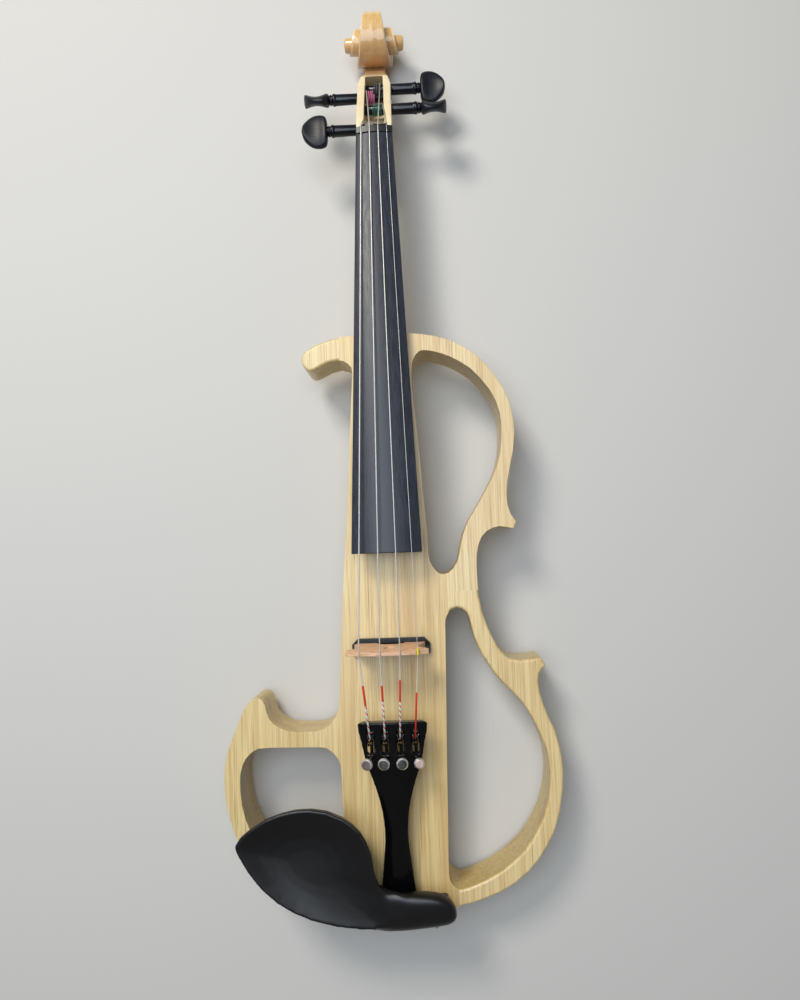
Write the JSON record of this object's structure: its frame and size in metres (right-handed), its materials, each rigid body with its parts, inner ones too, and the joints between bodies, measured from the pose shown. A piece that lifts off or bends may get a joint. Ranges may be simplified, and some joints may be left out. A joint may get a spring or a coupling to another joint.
{
  "type": "electric violin",
  "caption": "Solid electric violin with an open sawn frame, maple neck and scroll, black fingerboard, pegs, tailpiece with fine tuners, chin rest, bridge pickup and rear controls.",
  "frame": {"origin": "on the flat back of the body, straight under the bridge", "axes": "+X towards the treble side, +Y along the neck towards the scroll, +Z out of the front towards the strings"},
  "size_m": [0.2082, 0.604, 0.0892],
  "materials": {
    "body_oak": "clear satin lacquer over pale straight-grained oak, laid up in strips",
    "neck_maple": "glossy clear lacquer over maple",
    "ebony": "black stained, satin",
    "bridge_maple": "bare maple",
    "black_gloss": "black gloss",
    "black_satin": "black satin",
    "nickel": "nickel plated",
    "steel": "wound and plain steel",
    "brass": "plain",
    "cork": "cork",
    "yellow_sleeve": "yellow tube",
    "black_cord": "black nylon",
    "circuit": "green board",
    "battery_case": "printed can, plain here"
  },
  "bodies": {
    "violin": {"bass_horn": "body_oak", "treble_upper_bow": "body_oak", "treble_lower_bow": "body_oak", "bass_lower_bow": "body_oak", "centre_block": "body_oak", "neck": "neck_maple", "fingerboard": "ebony", "nut": "ebony", "saddle": "ebony", "end_button": "ebony", "bridge": "bridge_maple", "tailpiece": "black_gloss", "pickup_bar": "black_gloss", "chin_rest": "black_satin", "back_cover": "black_satin", "clamp_bracket": "nickel", "output_jack": "nickel", "cover_screw_1": "nickel", "cover_screw_2": "nickel", "string_g": "steel", "string_d": "steel", "string_a": "steel", "string_e": "steel", "tuner_axle": "steel", "piezo_strip": "brass", "cork_bass": "cork", "cork_treble": "cork", "e_string_sleeve": "yellow_sleeve", "tailgut": "black_cord", "pickup_lead": "black_cord", "battery_snap": "black_cord", "preamp_board": "circuit", "battery": "battery_case"},
    "peg_g_body": {"peg_g": "ebony", "winding_g": "steel"},
    "peg_d_body": {"peg_d": "ebony", "winding_d": "steel"},
    "peg_a_body": {"peg_a": "ebony", "winding_a": "steel"},
    "peg_e_body": {"peg_e": "ebony", "winding_e": "steel"},
    "tuner_screw_g_body": {"tuner_screw_g": "nickel"},
    "tuner_lever_g_body": {"tuner_lever_g": "black_gloss", "ball_end_g": "brass"},
    "tuner_screw_d_body": {"tuner_screw_d": "nickel"},
    "tuner_lever_d_body": {"tuner_lever_d": "black_gloss", "ball_end_d": "brass"},
    "tuner_screw_a_body": {"tuner_screw_a": "nickel"},
    "tuner_lever_a_body": {"tuner_lever_a": "black_gloss", "ball_end_a": "brass"},
    "tuner_screw_e_body": {"tuner_screw_e": "nickel"},
    "tuner_lever_e_body": {"tuner_lever_e": "black_gloss", "ball_end_e": "brass"},
    "clamp_barrel_bass_body": {"clamp_barrel_bass": "nickel"},
    "clamp_barrel_treble_body": {"clamp_barrel_treble": "nickel"},
    "clamp_foot_body": {"clamp_foot": "nickel", "clamp_foot_cork": "cork"},
    "battery_door_body": {"battery_door": "black_satin"},
    "volume_knob_body": {"volume_knob": "black_satin"},
    "tone_knob_body": {"tone_knob": "black_satin"}
  },
  "joints": [
    {"name": "peg_g_turn", "type": "hinge", "parent": "violin", "child": "peg_g_body", "pos_m": [0, 0.33561, 0.0218], "axis": [1, 0, 0], "continuous": true},
    {"name": "peg_d_turn", "type": "hinge", "parent": "violin", "child": "peg_d_body", "pos_m": [0, 0.36536, 0.008], "axis": [1, 0, 0], "continuous": true},
    {"name": "peg_a_turn", "type": "hinge", "parent": "violin", "child": "peg_a_body", "pos_m": [0, 0.37406, 0.0025], "axis": [1, 0, 0], "continuous": true},
    {"name": "peg_e_turn", "type": "hinge", "parent": "violin", "child": "peg_e_body", "pos_m": [0, 0.35314, 0.014], "axis": [1, 0, 0], "continuous": true},
    {"name": "tuner_screw_g_travel", "type": "slide", "parent": "violin", "child": "tuner_screw_g_body", "axis": [0.1395, 0, -0.9902], "range_m": [0, 0.003]},
    {"name": "tuner_lever_g_tilt", "type": "hinge", "parent": "violin", "child": "tuner_lever_g_body", "pos_m": [-0.01335, -0.05, 0.0446], "axis": [1, 0, 0], "range_deg": [0, 12.9]},
    {"name": "tuner_screw_d_travel", "type": "slide", "parent": "violin", "child": "tuner_screw_d_body", "axis": [0.0699, 0, -0.9976], "range_m": [0, 0.003]},
    {"name": "tuner_lever_d_tilt", "type": "hinge", "parent": "violin", "child": "tuner_lever_d_body", "pos_m": [-0.00445, -0.05, 0.0446], "axis": [1, 0, 0], "range_deg": [0, 12.9]},
    {"name": "tuner_screw_a_travel", "type": "slide", "parent": "violin", "child": "tuner_screw_a_body", "axis": [-0.0699, 0, -0.9976], "range_m": [0, 0.003]},
    {"name": "tuner_lever_a_tilt", "type": "hinge", "parent": "violin", "child": "tuner_lever_a_body", "pos_m": [0.00445, -0.05, 0.0446], "axis": [1, 0, 0], "range_deg": [0, 12.9]},
    {"name": "tuner_screw_e_travel", "type": "slide", "parent": "violin", "child": "tuner_screw_e_body", "axis": [-0.1395, 0, -0.9902], "range_m": [0, 0.003]},
    {"name": "tuner_lever_e_tilt", "type": "hinge", "parent": "violin", "child": "tuner_lever_e_body", "pos_m": [0.01335, -0.05, 0.0446], "axis": [1, 0, 0], "range_deg": [0, 12.9]},
    {"name": "clamp_barrel_bass_turn", "type": "hinge", "parent": "violin", "child": "clamp_barrel_bass_body", "pos_m": [-0.022, -0.1649, 0.016], "axis": [0, 0, 1], "range_deg": [0, 720]},
    {"name": "clamp_barrel_treble_turn", "type": "hinge", "parent": "violin", "child": "clamp_barrel_treble_body", "pos_m": [0.022, -0.1649, 0.016], "axis": [0, 0, 1], "range_deg": [0, 720]},
    {"name": "clamp_foot_travel", "type": "slide", "parent": "violin", "child": "clamp_foot_body", "axis": [0, 0, -1], "range_m": [0, 0.0028]},
    {"name": "battery_door_swing", "type": "hinge", "parent": "violin", "child": "battery_door_body", "pos_m": [0, -0.0801, 0.0014], "axis": [1, 0, 0], "range_deg": [0, 95]},
    {"name": "volume_knob_turn", "type": "hinge", "parent": "violin", "child": "volume_knob_body", "pos_m": [-0.012, -0.0525, 0.0055], "axis": [0, 0, 1], "range_deg": [-140, 140]},
    {"name": "tone_knob_turn", "type": "hinge", "parent": "violin", "child": "tone_knob_body", "pos_m": [0.012, -0.0525, 0.0055], "axis": [0, 0, 1], "range_deg": [-140, 140]}
  ],
  "couplings": [
    {"joint": "tuner_lever_g_tilt", "follows": "tuner_screw_g_travel", "rad_per_m": 75},
    {"joint": "tuner_lever_d_tilt", "follows": "tuner_screw_d_travel", "rad_per_m": 75},
    {"joint": "tuner_lever_a_tilt", "follows": "tuner_screw_a_travel", "rad_per_m": 75},
    {"joint": "tuner_lever_e_tilt", "follows": "tuner_screw_e_travel", "rad_per_m": 75},
    {"joint": "clamp_barrel_bass_turn", "follows": "clamp_foot_travel", "rad_per_m": 4488},
    {"joint": "clamp_barrel_treble_turn", "follows": "clamp_foot_travel", "rad_per_m": 4488}
  ]
}
